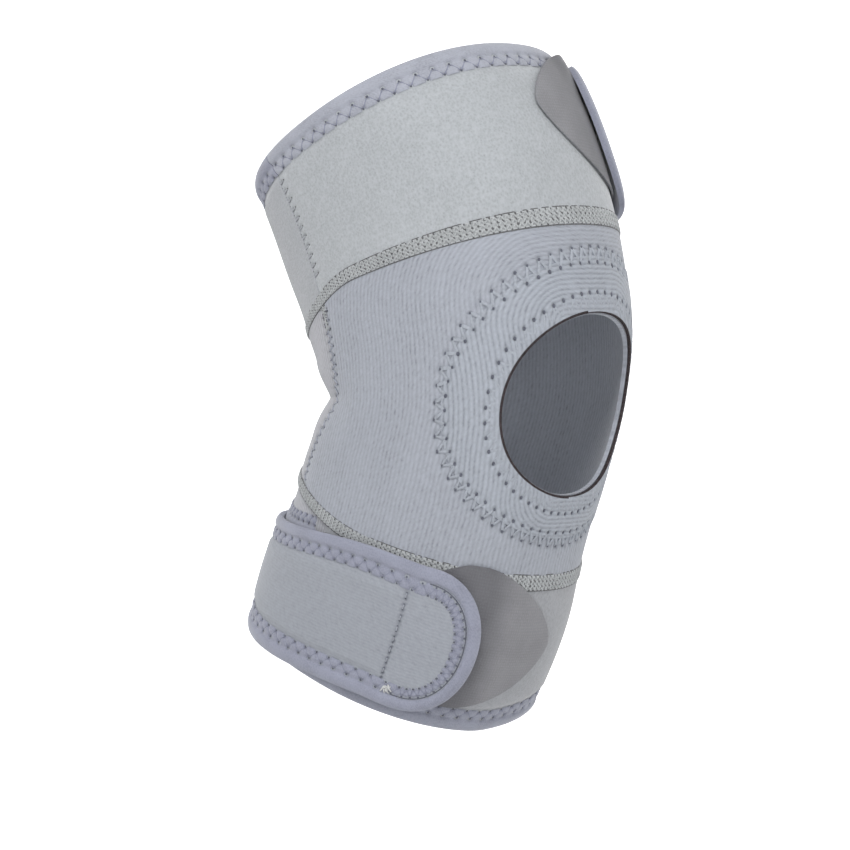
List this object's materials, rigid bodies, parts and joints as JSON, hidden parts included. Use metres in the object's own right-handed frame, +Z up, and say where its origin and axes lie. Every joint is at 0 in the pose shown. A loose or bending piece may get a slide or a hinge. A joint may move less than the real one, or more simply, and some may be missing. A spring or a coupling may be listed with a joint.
{
  "type": "knee sleeve",
  "caption": "Padded knit knee sleeve with an open kneecap hole, a sewn ring pad, bound rims and hook tabbed straps, in its worn shape.",
  "frame": {"origin": "the middle of the knee, inside the sleeve, where the leg holds it", "axes": "+Z up along the leg, -Y towards the kneecap, -X towards the side where the calf strap ends"},
  "size_m": [0.1291, 0.1596, 0.2693],
  "materials": {
    "loop_cloth": "brushed loop knit, pale grey",
    "calf_loop_cloth": "brushed loop knit, grey",
    "jersey": "fine ribbed jersey over padding, blue grey",
    "ring_jersey": "fine ribbed jersey over a pad, blue grey",
    "back_knit": "soft stretch knit, pale grey",
    "strap_jersey": "fine ribbed jersey over padding, blue grey",
    "tape_cloth": "felted binding tape, lilac grey",
    "strap_tape": "felted binding tape, darker lilac grey",
    "hook_cloth": "smooth hook tape, mid grey"
  },
  "bodies": {
    "root": {"thigh_band": "loop_cloth", "knee_panel": "jersey", "patella_ring": "ring_jersey", "knee_back": "back_knit", "calf_band": "calf_loop_cloth", "calf_back": "back_knit", "thigh_strap": "strap_jersey", "calf_strap": "strap_jersey", "thigh_binding": "tape_cloth", "calf_binding": "tape_cloth", "calf_back_binding": "tape_cloth", "thigh_strap_binding": "strap_tape", "calf_strap_binding": "strap_tape", "thigh_hook_tab": "hook_cloth", "calf_hook_tab": "hook_cloth"}
  },
  "joints": []
}
